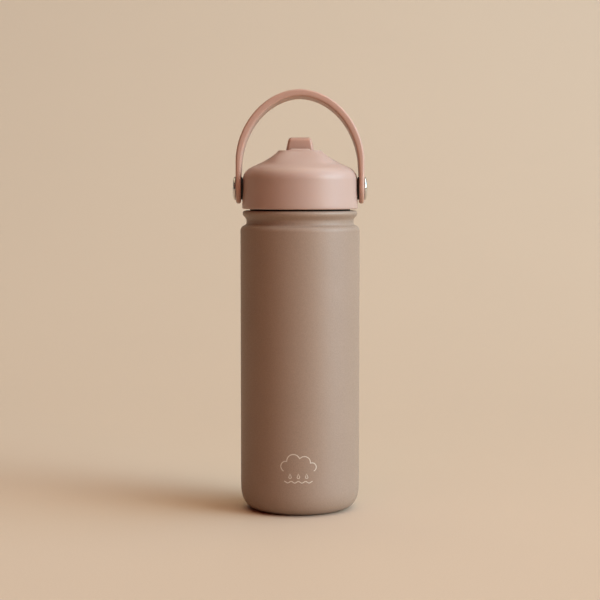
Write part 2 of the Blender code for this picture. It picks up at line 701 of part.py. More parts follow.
def make_pivots(steel, brass, dark_silicone, parent):
    """On each side: a brass insert in the lid, a saddle washer, and a domed shoulder screw."""
    leg_inner = ARCH_HALF_WIDTH - STRAP_THIN
    head = ARCH_HALF_WIDTH + GAP
    shoulder_end = leg_inner - 0.2 * MM
    shank, tip = INSERT_BORE - GAP, INSERT_REACH[0] + 0.5 * MM
    rim = 0.3 * MM
    dome = []
    for i in range(1, 7):
        a = math.pi / 2 * i / 6
        across, up = abs(math.cos(a)) ** (2 / HEAD_POWER), math.sin(a) ** (2 / HEAD_POWER)
        dome.append((SCREW_HEAD_RADIUS * across, head + rim + (SCREW_HEAD_HEIGHT - rim) * up))
    dome[-1] = (0, head + SCREW_HEAD_HEIGHT)
    screw = [
        (0, tip),
        (shank, tip),
        (shank, shoulder_end),
        (SHOULDER_PIN_RADIUS, shoulder_end),
        (SHOULDER_PIN_RADIUS, head),
        (SCREW_HEAD_RADIUS - 0.2 * MM, head),
        (SCREW_HEAD_RADIUS, head + rim),
        *dome,
    ]
    insert_low, insert_high = INSERT_REACH
    insert = [
        (INSERT_BORE, insert_low),
        (INSERT_RADIUS, insert_low),
        (INSERT_RADIUS, insert_high),
        (INSERT_BORE, insert_high),
    ]
    washer_bore, washer_radius = 3.0 * MM, 7.0 * MM
    washer_low, washer_high = 33.5 * MM, leg_inner - 0.2 * MM
    washer = [
        (washer_bore, washer_low),
        (washer_radius, washer_low),
        (washer_radius, washer_high),
        (washer_bore, washer_high),
    ]
    saddle_radius = 35.35 * MM
    saddle = tool("lid_saddle", rod(saddle_radius, (0, 0, 180 * MM), (0, 0, 210 * MM), BIG_STEPS * 2), parent)
    for side, name in ((-1, "left"), (1, "right")):
        turn = (0, side * math.pi / 2, 0)
        spot = (0, 0, PIVOT_Z)
        place("pivot_screw_" + name, turned(screw, SMALL_STEPS, closed=False), steel, parent, spot, turn)
        place("pivot_insert_" + name, turned(insert, SMALL_STEPS), brass, parent, spot, turn)
        ring = place("friction_washer_" + name, turned(washer, 32), dark_silicone, parent, spot, turn)
        combine(ring, saddle, "DIFFERENCE")


def main():
    clear_scene()
    coat = finish("powder_coat", (0.30, 0.19, 0.13), 0.55)
    plastic = finish("lid_plastic", (0.52, 0.30, 0.23), 0.45)
    steel = finish("steel", (0.62, 0.61, 0.59), 0.28, 1.0)
    brass = finish("brass", (0.72, 0.53, 0.25), 0.3, 1.0)
    dark_silicone = finish("dark_silicone", (0.02, 0.017, 0.015), 0.6)
    silicone = finish("clear_silicone", (0.75, 0.73, 0.70), 0.4)
    straw_plastic = finish("straw_plastic", (0.80, 0.78, 0.74), 0.25)
    foam = finish("foam", (0.85, 0.85, 0.83), 0.9)
    glass = finish("seal_glass", (0.25, 0.24, 0.22), 0.2)
    getter_metal = finish("getter_metal", (0.35, 0.34, 0.33), 0.7, 1.0)

    make_outer_shell(coat)
    make_inner_flask(steel)
    make_base(coat, steel, glass, getter_metal)

    gasket_frame = frame_empty("gasket_frame")
    lid_frame = frame_empty("lid_frame", parent=gasket_frame)
    make_gasket(dark_silicone, gasket_frame)
    make_lid_shell(plastic, lid_frame)
    vent_y = make_plug(plastic, foam, lid_frame)
    make_straw(straw_plastic, silicone, lid_frame)
    make_vent_valve(silicone, vent_y, lid_frame)
    make_spout_valve(silicone, lid_frame)
    make_spout_pins(steel, lid_frame)
    make_pivots(steel, brass, dark_silicone, lid_frame)

    spout_frame = frame_empty("spout_frame", (0, *SPOUT_AXIS), lid_frame)
    make_spout(plastic, spout_frame)
    handle_frame = frame_empty("handle_frame", (0, 0, PIVOT_Z), lid_frame, (-HANDLE_LEAN, 0, 0))
    make_handle(plastic, handle_frame)


main()
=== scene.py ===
# Looks of a child's insulated straw bottle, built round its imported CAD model.
# Metres, +Z up, the front faces -Y. Most sizes in the dictionaries below are in millimetres.

import json
import math

import bmesh
import bpy
from mathutils import Matrix, Vector


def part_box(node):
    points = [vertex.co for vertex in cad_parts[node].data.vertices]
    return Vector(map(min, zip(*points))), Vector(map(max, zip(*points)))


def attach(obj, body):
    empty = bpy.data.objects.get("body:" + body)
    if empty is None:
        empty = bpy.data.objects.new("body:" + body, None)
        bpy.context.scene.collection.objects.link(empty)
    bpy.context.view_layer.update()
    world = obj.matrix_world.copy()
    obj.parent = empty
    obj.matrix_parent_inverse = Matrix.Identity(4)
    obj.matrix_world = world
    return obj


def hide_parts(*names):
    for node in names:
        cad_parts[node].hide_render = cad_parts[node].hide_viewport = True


mm = 0.001
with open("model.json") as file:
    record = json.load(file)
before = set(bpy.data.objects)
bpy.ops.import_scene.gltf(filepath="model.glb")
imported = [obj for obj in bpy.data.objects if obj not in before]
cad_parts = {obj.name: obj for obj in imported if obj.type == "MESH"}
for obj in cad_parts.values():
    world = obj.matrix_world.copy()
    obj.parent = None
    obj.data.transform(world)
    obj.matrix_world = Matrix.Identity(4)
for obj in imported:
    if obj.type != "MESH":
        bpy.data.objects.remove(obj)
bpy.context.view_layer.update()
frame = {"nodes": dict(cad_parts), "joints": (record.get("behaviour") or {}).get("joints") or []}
jointAt = {joint["name"]: Vector(joint.get("pos_m", (0, 0, 0))) for joint in frame["joints"]}
handlePivot = jointAt["handle_swing"]
spoutHinge = jointAt["spout_flip"]
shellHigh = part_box("outer_shell")[1]
lidLow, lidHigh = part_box("lid_shell")


def inMetres(**sizes):
    # sizes in millimetres; a pair is a point of a section, as radius and height
    return {
        name: tuple(v * mm for v in value) if isinstance(value, tuple) else value * mm
        for name, value in sizes.items()
    }


def arcLine(centre, radius, start, end, count):
    # points on an arc, angles in degrees from the first axis
    angles = [math.radians(start + (end - start) * i / count) for i in range(count + 1)]
    return [(centre[0] + radius * math.cos(a), centre[1] + radius * math.sin(a)) for a in angles]


def curveLine(a, b, c, d, count):
    # points on a cubic curve, without its first point
    found = []
    for i in range(1, count + 1):
        t = i / count
        weights = ((1 - t) ** 3, 3 * t * (1 - t) ** 2, 3 * t * t * (1 - t), t**3)
        found.append(tuple(sum(w * p[k] for w, p in zip(weights, (a, b, c, d))) for k in (0, 1)))
    return found


def shiftLine(line, distance):
    # the same line moved to its left
    moved = []
    for i, here in enumerate(line):
        before, after = Vector(line[max(i - 1, 0)]), Vector(line[min(i + 1, len(line) - 1)])
        along = (after - before).normalized()
        moved.append((here[0] - along.y * distance, here[1] + along.x * distance))
    return moved


def smoothStep(value):
    value = min(max(value, 0.0), 1.0)
    return value * value * (3 - 2 * value)


def smoothMax(a, b, blendHeight):
    mix = max(blendHeight - abs(a - b), 0.0) / blendHeight
    return max(a, b) + mix * mix * blendHeight / 4


def lathe(section, steps, rounding=None):
    # a closed (radius, height) section spun about Z; rounding maps a point's index to its radius
    bm = bmesh.new()
    corners = [bm.verts.new((r, 0, z)) for r, z in section]
    bm.faces.new(corners)
    byRadius = {}
    for index, radius in (rounding or {}).items():
        byRadius.setdefault(radius, []).append(corners[index])
    for radius, verts in byRadius.items():
        bmesh.ops.bevel(
            bm,
            geom=verts,
            offset=radius,
            offset_type="OFFSET",
            affect="VERTICES",
            segments=5,
            profile=0.5,
            material=-1,
            clamp_overlap=True,
        )
    bmesh.ops.delete(bm, geom=bm.faces[:], context="FACES_ONLY")
    onAxis = [e for e in bm.edges if all(v.co.x < 1e-7 for v in e.verts)]
    bmesh.ops.delete(bm, geom=onAxis, context="EDGES")
    bmesh.ops.spin(
        bm,
        geom=bm.verts[:] + bm.edges[:],
        cent=(0, 0, 0),
        axis=(0, 0, 1),
        angle=math.tau,
        steps=steps,
        use_merge=True,
    )
    tidyMesh(bm)
    return bm


def slab(outline, halfWidth):
    # a side view of (y, z) given a width along X
    bm = bmesh.new()
    face = bm.faces.new([bm.verts.new((-halfWidth, y, z)) for y, z in outline])
    grown = bmesh.ops.extrude_face_region(bm, geom=[face])["geom"]
    moved = [v for v in grown if isinstance(v, bmesh.types.BMVert)]
    bmesh.ops.translate(bm, vec=(2 * halfWidth, 0, 0), verts=moved)
    tidyMesh(bm)
    return bm


def rod(radius, start, end, steps=64):
    start, end = Vector(start), Vector(end)
    turn = (end - start).to_track_quat("Z", "Y").to_matrix().to_4x4()
    bm = bmesh.new()
    bmesh.ops.create_cone(
        bm,
        cap_ends=True,
        segments=steps,
        radius1=radius,
        radius2=radius,
        depth=(end - start).length,
        matrix=Matrix.Translation((start + end) / 2) @ turn,
    )
    return bm


def sweep(section, stations, capped=True):
    # a closed section pushed out from station to station
    bm = bmesh.new()
    verts = [bm.verts.new(stations[0] @ Vector(p)) for p in section]
    edges = [bm.edges.new(pair) for pair in zip(verts, verts[1:] + verts[:1])]
    if capped:
        bm.faces.new(verts)
    for earlier, later in zip(stations, stations[1:]):
        made = bmesh.ops.extrude_edge_only(bm, edges=edges)["geom"]
        verts = [g for g in made if isinstance(g, bmesh.types.BMVert)]
        known = set(verts)
        edges = [g for g in made if isinstance(g, bmesh.types.BMEdge) and known.issuperset(g.verts)]
        bmesh.ops.transform(bm, matrix=later @ earlier.inverted(), verts=verts)
    if capped:
        bmesh.ops.edgeloop_fill(bm, edges=edges)
    return bm


def sideRods(radius, start, end, z, steps=64):
    # one rod on the left and one on the right, along X
    return joined(*[rod(radius, (side * start, 0, z), (side * end, 0, z), steps) for side in (-1, 1)])


def tidyMesh(bm, distance=1e-7):
    bmesh.ops.remove_doubles(bm, verts=bm.verts, dist=distance)
    bmesh.ops.recalc_face_normals(bm, faces=bm.faces)


def joined(*parts):
    # several separate bodies as one bmesh
    whole = bmesh.new()
    for part in parts:
        scratch = bpy.data.meshes.new("scratch")
        part.to_mesh(scratch)
        part.free()
        whole.from_mesh(scratch)
        bpy.data.meshes.remove(scratch)
    return whole


def carve(bm, other, operation="DIFFERENCE"):
    # one Boolean between two bmeshes; both are used up
    objects = []
    for label, part in (("carved", bm), ("carver", other)):
        mesh = bpy.data.meshes.new(label)
        part.to_mesh(mesh)
        part.free()
        objects.append(bpy.data.objects.new(label, mesh))
        bpy.context.collection.objects.link(objects[-1])
    modifier = objects[0].modifiers.new("carve", "BOOLEAN")
    modifier.operation = operation
    modifier.object = objects[1]
    modifier.solver = "EXACT"
    finished = objects[0].evaluated_get(bpy.context.evaluated_depsgraph_get())
    made = bpy.data.meshes.new_from_object(finished)
    result = bmesh.new()
    result.from_mesh(made)
    for old in objects:
        oldMesh = old.data
        bpy.data.objects.remove(old)
        bpy.data.meshes.remove(oldMesh)
    bpy.data.meshes.remove(made)
    return result


def makePiece(name, bm, body, node, finishName, sharpAngle=32, matrix=None):
    if matrix is not None:
        bmesh.ops.transform(bm, matrix=matrix, verts=bm.verts)
    tidyMesh(bm)
    mesh = bpy.data.meshes.new(name)
    bm.to_mesh(mesh)
    bm.free()
    mesh.shade_smooth()
    mesh.set_sharp_from_angle(angle=math.radians(sharpAngle))
    mesh.materials.append(finish[finishName])
    piece = bpy.data.objects.new(name, mesh)
    bpy.context.scene.collection.objects.link(piece)
    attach(piece, body)
    if node:
        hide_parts(node)
    print(f"  {name}: {len(mesh.polygons)} faces")
    return piece


def makeFinish(name, settings):
    # one satin, grained or brushed surface: grain in the colour, the roughness and the relief
    material = bpy.data.materials.new(name)
    material.use_nodes = True
    nodes, links = material.node_tree.nodes, material.node_tree.links
    shader = nodes["Principled BSDF"]
    shader.inputs["Metallic"].default_value = settings.get("metallic", 0.0)
    shader.inputs["IOR"].default_value = 1.46
    shader.inputs["Specular IOR Level"].default_value = settings.get("specular", 0.5)
    shader.inputs["Coat Weight"].default_value = settings.get("coat", 0.0)
    shader.inputs["Coat Roughness"].default_value = 0.2
    shader.inputs["Subsurface Weight"].default_value = settings.get("subsurface", 0.0)
    shader.inputs["Subsurface Radius"].default_value = (1.0, 0.45, 0.3)
    shader.inputs["Subsurface Scale"].default_value = 0.003

    place = nodes.new("ShaderNodeTexCoord")
    stretch = nodes.new("ShaderNodeMapping")
    stretch.inputs["Scale"].default_value = settings.get("stretch", (1, 1, 1))
    links.new(place.outputs["Object"], stretch.inputs["Vector"])

    def noise(scale, detail):
        texture = nodes.new("ShaderNodeTexNoise")
        texture.inputs["Scale"].default_value = scale
        texture.inputs["Detail"].default_value = detail
        links.new(stretch.outputs["Vector"], texture.inputs["Vector"])
        return texture.outputs["Fac"]

    def spread(source, low, high):
        ranged = nodes.new("ShaderNodeMapRange")
        ranged.inputs["From Min"].default_value = 0.3
        ranged.inputs["From Max"].default_value = 0.7
        ranged.inputs["To Min"].default_value = low
        ranged.inputs["To Max"].default_value = high
        links.new(source, ranged.inputs["Value"])
        return ranged.outputs["Result"]

    grain = noise(settings["grain"], 3.0)
    cloud = noise(settings.get("cloud", 40.0), 2.0)
    colour = settings["colour"]
    shade = settings.get("shade", 0.05)
    speckle = nodes.new("ShaderNodeMix")
    speckle.data_type = "RGBA"
    speckle.inputs["A"].default_value = (*[c * (1 - shade) for c in colour], 1)
    speckle.inputs["B"].default_value = (*[c * (1 + shade) for c in colour], 1)
    links.new(spread(grain, 0.0, 1.0), speckle.inputs["Factor"])
    drift = nodes.new("ShaderNodeMix")
    drift.data_type = "RGBA"
    drift.blend_type = "MULTIPLY"
    drift.inputs["Factor"].default_value = 1.0
    links.new(speckle.outputs["Result"], drift.inputs["A"])
    tint = nodes.new("ShaderNodeCombineColor")
    for channel, amount in zip(("Red", "Green", "Blue"), settings.get("drift", (0.02, 0.02, 0.02))):
        links.new(spread(cloud, 1 - amount, 1 + amount), tint.inputs[channel])
    links.new(tint.outputs["Color"], drift.inputs["B"])
    links.new(drift.outputs["Result"], shader.inputs["Base Color"])

    rough = settings["roughness"]
    roughSpread = settings.get("roughSpread", 0.05)
    links.new(spread(grain, rough + roughSpread, rough - roughSpread), shader.inputs["Roughness"])
    relief = nodes.new("ShaderNodeBump")
    relief.inputs["Strength"].default_value = settings.get("reliefStrength", 0.3)
    relief.inputs["Distance"].default_value = settings.get("relief", 0.05) * mm
    links.new(noise(settings.get("reliefGrain", settings["grain"]), 2.0), relief.inputs["Height"])
    links.new(relief.outputs["Normal"], shader.inputs["Normal"])
    return material


finishes = {  # relief in millimetres; the larger a grain, the finer
    "powderCoat": dict(
        slot="powder_coat", colour=(0.308, 0.214, 0.16), roughness=0.5, roughSpread=0.08,
        grain=1500, shade=0.075, drift=(0.012, 0.014, 0.018), relief=0.11, reliefStrength=0.5,
        reliefGrain=1700,
    ),
    "lidPlastic": dict(
        slot="lid_plastic", colour=(0.457, 0.31, 0.261), roughness=0.44, grain=2600,
        shade=0.015, drift=(0.008, 0.01, 0.012), relief=0.02, reliefStrength=0.3,
        subsurface=0.08,
    ),
    "plugPlastic": dict(
        slot="plug_plastic", colour=(0.50, 0.372, 0.325), roughness=0.4, grain=2200,
        shade=0.015, relief=0.02, subsurface=0.08,
    ),
    "flaskSteel": dict(
        slot="flask_steel", colour=(0.62, 0.61, 0.59), metallic=1.0, roughness=0.3,
        roughSpread=0.09, grain=6, stretch=(1, 1, 160), shade=0.05, relief=0.012,
        reliefStrength=0.25,
    ),
    "polishedSteel": dict(
        slot="polished_steel", colour=(0.72, 0.72, 0.70), metallic=1.0, roughness=0.12,
        roughSpread=0.03, grain=900, shade=0.02, relief=0.004, reliefStrength=0.1,
    ),
    # near-black silicone: on the neck gasket and the pivot washers its blackness also paints the shade in
    # the gaps between lid and rim and between lid and handle
    "darkSiliconeGapShade": dict(
        slot="dark_silicone", colour=(0.012, 0.010, 0.009), roughness=0.55, grain=1800,
        shade=0.12, relief=0.02,
    ),
    "clearSilicone": dict(
        slot="clear_silicone", colour=(0.74, 0.72, 0.69), roughness=0.38, grain=1400,
        shade=0.02, relief=0.015, subsurface=0.35,
    ),
    "strawPlastic": dict(
        slot="straw_plastic", colour=(0.82, 0.79, 0.75), roughness=0.24, grain=900, shade=0.015,
        relief=0.01, subsurface=0.3,
    ),
    "whiteFoam": dict(
        colour=(0.85, 0.85, 0.82), roughness=0.85, grain=700, shade=0.06, relief=0.25,
        reliefStrength=0.7, reliefGrain=650,
    ),
    "sealGlass": dict(
        colour=(0.20, 0.19, 0.17), roughness=0.15, grain=400, shade=0.15, relief=0.02, coat=0.4,
    ),
    "getterMetal": dict(
        colour=(0.33, 0.32, 0.31), metallic=1.0, roughness=0.62, grain=1600, shade=0.15,
        relief=0.06, reliefStrength=0.6,
    ),
    "insertBrass": dict(
        slot="insert_brass", colour=(0.72, 0.53, 0.25), metallic=1.0, roughness=0.3, grain=1200,
        shade=0.05, relief=0.01,
    ),
    "printInk": dict(
        slot="powder_coat", colour=(0.60, 0.52, 0.44), roughness=0.55, grain=1500, shade=0.04,
        relief=0.02,
    ),
}
# the handle and the spout take the lid's plastic made redder and darker: painted shade for their faces that
# turn away from the light
finishes["handlePlasticPaintedShade"] = {**finishes["lidPlastic"], "colour": (0.48, 0.288, 0.224)}
finish = {name: makeFinish(name, settings) for name, settings in finishes.items()}
print(f"finishes: {len(finish)}")

shell = inMetres(
    wall=0.7,
    flatRadius=22.0,
    openingRadius=19.5,
    cornerHeight=18.0,
    shoulderRadius=3.4,
    shoulderDrop=12.3,  # from the rim down to the shoulder's centre
    grooveRadius=32.8,
    grooveTop=6.1,  # also below the rim, as is the next
    grooveFoot=7.4,
    grooveEase=0.8,  # how far the curve into the groove keeps its first and last direction
    grooveRise=0.3,
    collarRadius=35.1,
    rimRounding=1.7,
    rimInner=32.1,
)
bodyRadius = shellHigh.x
rimZ = shellHigh.z


def shellLine(corner, shoulder, flare, rim):
    depth = bodyRadius - shell["flatRadius"]
    line = [(shell["openingRadius"], 0.0)]
    for i in range(corner + 1):
        a = math.pi / 2 * i / corner
        line.append(
            (
                shell["flatRadius"] + depth * math.sin(a) ** (2 / 3),
                shell["cornerHeight"] * (1 - math.cos(a) ** (2 / 3)),
            )
        )
    shoulderCentre = (bodyRadius - shell["shoulderRadius"], rimZ - shell["shoulderDrop"])
    line += arcLine(shoulderCentre, shell["shoulderRadius"], 0, 70, shoulder)
    start, low = line[-1], (shell["grooveRadius"], rimZ - shell["grooveFoot"])
    leave = (start[0] - shell["grooveEase"], start[1] + shell["grooveRise"])
    line += curveLine(start, leave, (low[0], low[1] - shell["grooveEase"]), low, 6)
    flareLow, flareHigh = rimZ - shell["grooveTop"], rimZ - shell["rimRounding"]
    for i in range(flare + 1):
        t = i / flare
        rise = (1 - math.cos(math.pi * t)) / 2
        reach = shell["collarRadius"] - shell["grooveRadius"]
        line.append((shell["grooveRadius"] + reach * rise, flareLow + (flareHigh - flareLow) * t))
    rimCentre = (shell["collarRadius"] - shell["rimRounding"], flareHigh)
    line += arcLine(rimCentre, shell["rimRounding"], 8, 90, rim)
    line.append((shell["rimInner"], rimZ))
    return line


def makeOuterShell():
    inside = shiftLine(shellLine(8, 4, 6, 3), shell["wall"])
    bm = lathe(shellLine(28, 10, 18, 8) + inside[::-1], 192)
    makePiece("flaskShell", bm, "bottle", "outer_shell", "powderCoat")


flask = inMetres(
    radius=33.0,
    neckRadius=31.75,
    floorZ=8.0,
    corner=11.0,
    coneLow=160.0,
    coneHigh=166.0,
    coneEase=3.0,
    rimGap=0.2,
    crest=30.5,
    threadLow=170.5,
    pitch=5.0,
    ridgeHeight=1.0,
)
threadTurns = 1.6
threadFade = 14  # steps over which each end of the ridge sinks away


def makeThread(root, crest, lowZ, stepsPerTurn=96):
    # a rounded ridge that climbs round the axis and fades at both ends
    height, pitch = flask["ridgeHeight"], flask["pitch"]
    reach = crest - root
    section = [(0, -1, 0), (0.75, -0.55, 0), (1, -0.25, 0), (1, 0.25, 0), (0.75, 0.55, 0), (0, 1, 0)]
    count = int(threadTurns * stepsPerTurn)
    stations = []
    for i in range(count + 1):
        angle = math.tau * i / stepsPerTurn + 0.02
        full = smoothStep(0.12 + i / threadFade) * smoothStep(0.12 + (count - i) / threadFade)
        out = Vector((math.cos(angle), math.sin(angle), 0))
        up = Vector((0, 0, 1))
        station = Matrix.Identity(4)
        station.col[0] = (*(out * reach * full), 0)
        station.col[1] = (*(up * height * (0.45 + 0.55 * full)), 0)
        station.col[2] = (*(out.cross(up) * mm), 0)
        station.col[3] = (*(out * root + up * (lowZ + pitch * i / stepsPerTurn)), 1)
        stations.append(station)
    bm = sweep(section, stations)
    tidyMesh(bm)
    return bm


def makeInnerFlask():
    neck, wall = flask["neckRadius"], shell["wall"]
    cornerZ = flask["floorZ"] + flask["corner"]
    outer = [
        *arcLine((flask["radius"] - flask["corner"], cornerZ), flask["corner"], -90, 0, 14),
        (flask["radius"], flask["coneLow"]),
        *curveLine(
            (flask["radius"], flask["coneLow"]),
            (flask["radius"], flask["coneLow"] + flask["coneEase"]),
            (neck, flask["coneHigh"] - flask["coneEase"]),
            (neck, flask["coneHigh"]),
            8,
        ),
        (neck, rimZ - flask["rimGap"]),
    ]
    section = [(0, flask["floorZ"]), *outer, *shiftLine(outer, wall)[::-1], (0, flask["floorZ"] + wall)]
    ridge = makeThread(neck - wall / 2, flask["crest"], flask["threadLow"])
    bm = carve(lathe(section, 144), ridge, "UNION")
    makePiece("innerFlask", bm, "bottle", "inner_flask", "flaskSteel", 40)


base = inMetres(
    coverRadius=19.2,
    coverLow=0.35,
    coverHigh=0.95,
    coverEdge=0.25,
    ring=15.5,
    ringWidth=0.8,
    ringDepth=0.25,
    dimple=2.5,
    dimpleSlope=0.4,
    dimpleDepth=0.2,
)


def makeBase():
    # the coated cover disc, with a pressed ring and a shallow centre dimple
    low, high = base["coverLow"], base["coverHigh"]
    ring, width, ringTop = base["ring"], base["ringWidth"], low + base["ringDepth"]
    section = [
        (0, low + base["dimpleDepth"]),
        (base["dimple"], low + base["dimpleDepth"]),
        (base["dimple"] + base["dimpleSlope"], low),
        (ring - width, low),
        (ring - width / 2, ringTop),
        (ring + width / 2, ringTop),
        (ring + width, low),
        (base["coverRadius"], low),
        (base["coverRadius"], high),
        (0, high),
    ]
    bm = lathe(section, 128, {7: base["coverEdge"]})
    makePiece("baseCover", bm, "bottle", "base_cover", "powderCoat")


makeOuterShell()
makeInnerFlask()
makeBase()
print("flask done")

# the printed motif is a cloud over three drops and a ripple
motif = inMetres(
    lineWidth=0.55,
    dropLineWidth=0.44,
    lineHeight=0.05,
    centreX=-1.0,
    cloudLow=28.6,
    rippleZ=21.9,
    rippleHalf=8.6,
    rippleRise=0.5,
    dropTop=27.0,
    dropHeight=2.9,
    dropHalf=0.75,
)
cloudPuffs = ((-7.6, 2.7, 3.1), (-3.0, 6.0, 4.0), (3.6, 5.2, 3.6), (8.2, 2.3, 2.6))  # x, height, radius
dropPlaces = (-5.0, 0.0, 5.0)
rippleWaves = 4


def cloudLine():
    # the outer arcs of overlapping round puffs, closed by a flat foot
    points = []
    for step in range(181):
        angle = math.radians(180 - step)
        best = 0.0
        for x, z, radius in cloudPuffs:
            ahead = x * math.cos(angle) + z * math.sin(angle)
            aside = -x * math.sin(angle) + z * math.cos(angle)
            if abs(aside) < radius:
                best = max(best, ahead + math.sqrt(radius * radius - aside * aside))
        points.append((best * math.cos(angle), best * math.sin(angle)))
    return points


def flatStroke(points, closed, width):
    # a flat ribbon along a line in the XZ plane, from a curve made a mesh
    data = bpy.data.curves.new("stroke", "CURVE")
    data.dimensions = "3D"
    data.bevel_depth = width / 2
    data.bevel_resolution = 2
    line = data.splines.new("POLY")
    line.points.add(len(points) - 1)
    for point, (x, z) in zip(line.points, points):
        point.co = (x, 0, z, 1)
    line.use_cyclic_u = closed
    data.use_fill_caps = True
    holder = bpy.data.objects.new("stroke", data)
    bpy.context.collection.objects.link(holder)
    mesh = bpy.data.meshes.new_from_object(holder.evaluated_get(bpy.context.evaluated_depsgraph_get()))
    bm = bmesh.new()
    bm.from_mesh(mesh)
    bpy.data.objects.remove(holder)
    bpy.data.curves.remove(data)
    bpy.data.meshes.remove(mesh)
    return bm


def printStroke(name, points, closed, width):
    bm = flatStroke(points, closed, width)
    squeeze = 2 * motif["lineHeight"] / width
    for vertex in bm.verts:
        angle = (vertex.co.x + motif["centreX"]) / bodyRadius
        radius = bodyRadius - vertex.co.y * squeeze
        vertex.co = (radius * math.sin(angle), -radius * math.cos(angle), vertex.co.z)
    makePiece(name, bm, "bottle", None, "printInk", 60)


def makeMotif():
    cloud = [(x * mm, motif["cloudLow"] + z * mm) for x, z in cloudLine()]
    printStroke("cloudPrint", cloud, True, motif["lineWidth"])
    for i, x in enumerate(dropPlaces):
        top, half, height = motif["dropTop"], motif["dropHalf"], motif["dropHeight"]
        bulb = arcLine((x * mm, top - height + half), half, 160, 380, 12)
        printStroke(f"dropPrint{i + 1}", [(x * mm, top), *bulb], True, motif["dropLineWidth"])
    ripple = []
    for i in range(61):
        x = motif["rippleHalf"] * (2 * i / 60 - 1)
        wave = math.cos(math.tau * rippleWaves * i / 60)
        ripple.append((x, motif["rippleZ"] + motif["rippleRise"] * wave))
    printStroke("ripplePrint", ripple, False, motif["lineWidth"])


makeMotif()
print("motif done")

lid = inMetres(
    wall=2.2,
    edge=0.9,
    skirtTop=(35.0, 17.5),  # points are a radius and a height from the lid's lower edge
    shoulderRise=(35.0, 21.1),  # the two points that bend the shoulder's curve
    shoulderLean=(32.9, 24.07),
    shoulderEnd=(29.0, 25.75),
    slopeFoot=(22.5, 28.55),  # the two points that bend the slope above it
    slopeHead=(15.3, 32.5),
    plateauRadius=13.4,
    plateauHeight=35.5,
    plateauEdge=0.5,
    plateauDrop=0.25,
    skirtBore=33.0,
    ledgeBore=32.4,
    ledgeHeight=2.9,
    plateauInner=10.0,
)
lip = inMetres(
    front=12.8,
    bow=1.0,
    bowHalf=8.4,
    crest=0.95,
    reach=2.0,
    fall=3.0,
    top=221.0,
    halfFlat=5.2,
    halfEnd=9.6,
    sideFall=5.0,
    innerWidth=0.8,  # the side towards the spout is eased over this width and height
    innerFall=0.3,
    farSlope=9.0,
    blendHeight=0.7,
    nearHalf=11.0,  # the part of the lid that the ridge may lift
    nearFront=-16.5,
    nearRear=-7.0,
    nearDepth=5.0,
)
lipRound = 0.96  # the front is round down to this share of its reach, then straight
brow = dict(power=4.0, fullRadius=14.5 * mm, endRadius=27 * mm)  # the flat top is squarer in front
lidHoles = inMetres(
    bossRadius=5.2,
    bossFrom=28.5,
    insertRadius=3.1,
    insertFrom=29.8,
    outside=40.0,
    seatRadius=6.3,
    seatDepth=1.0,
    stemRadius=5.3,
    stemDepth=5.0,
    pinRadius=1.6,
    pinDepth=1.5,
    spare=3.0,
)
pocket = inMetres(
    halfWidth=8.8,
    radius=13.4,
    floorZ=207.7,
    channelZ=214.2,
    housingWall=1.6,
    knuckle=9.0,
    gap=0.3,
    cornerRadius=2.4,
)
lidZ = lidLow.z
plateauZ = lidZ + lid["plateauHeight"]


def lidLine(shoulder, ogee, flat):
    # the outer surface, from the skirt's lower edge to the flat top
    radius, edge = lidHigh.x, lid["edge"]
    bends = ("skirtTop", "shoulderRise", "shoulderLean", "shoulderEnd", "slopeFoot", "slopeHead")
    skirtTop, rise, lean, shoulderEnd, foot, head = [(lid[b][0], lidZ + lid[b][1]) for b in bends]
    corner = (lid["plateauRadius"], plateauZ - lid["plateauDrop"])
    outer, inner = corner[0] - lid["plateauEdge"], lid["plateauInner"]
    line = arcLine((radius - edge, lidZ + edge), edge, -90, 0, 6)
    line += [
        (radius + (skirtTop[0] - radius) * i / 8, lidZ + edge + (skirtTop[1] - lidZ - edge) * i / 8)
        for i in range(1, 9)
    ]
    line += curveLine(skirtTop, rise, lean, shoulderEnd, shoulder)
    line += curveLine(shoulderEnd, foot, head, corner, ogee)
    turnStart = (corner[0] - 0.15 * mm, corner[1] + 0.17 * mm)
    line += curveLine(corner, turnStart, (corner[0] - 0.3 * mm, plateauZ), (outer, plateauZ), 3)
    line += [(outer + (inner - outer) * i / flat, plateauZ) for i in range(1, flat + 1)]
    return line


def pocketLine(margin, count=24):
    # the side view of the room that the spout turns in
    y, z = spoutHinge.y, spoutHinge.z
    floor = pocket["floorZ"] - margin
    radius = pocket["radius"] + margin
    low = math.degrees(math.asin((z - floor) / radius))
    top, rear = lidHigh.z + 20 * mm, 50 * mm
    ramp = y + pocket["knuckle"] + pocket["gap"] + margin
    return [
        (y - radius, top),
        *arcLine((y, z), radius, 180, 180 + low, count),
        (ramp - 1.5 * mm, floor),
        (ramp, floor + 2.5 * mm),
        (ramp, pocket["channelZ"] - margin),
        (rear, pocket["channelZ"] - margin),
        (rear, top),
    ]


def lipHeight(x, y):
    # the ridge in front of the spout, as a height over the plan
    across = abs(x)
    front = -lip["front"] + lip["bow"] * (across / lip["bowHalf"]) ** 2
    ahead = max((lip["crest"] - (y - front)) / lip["reach"], 0.0)
    drop = lip["fall"] * (1 - math.sqrt(1 - min(ahead, lipRound) ** 2))
    drop += lip["farSlope"] * max(ahead - lipRound, 0.0)
    side = lip["sideFall"] * smoothStep((across - lip["halfFlat"]) / (lip["halfEnd"] - lip["halfFlat"]))
    inner = max(y - front - lip["crest"], 0.0) / lip["innerWidth"]
    return lip["top"] - drop - side - lip["innerFall"] * min(inner, 1.0) ** 2


def isNearLip(point, margin):
    within = abs(point.x) < lip["nearHalf"] + margin and point.z > plateauZ - lip["nearDepth"]
    return within and lip["nearFront"] - margin < point.y < lip["nearRear"]


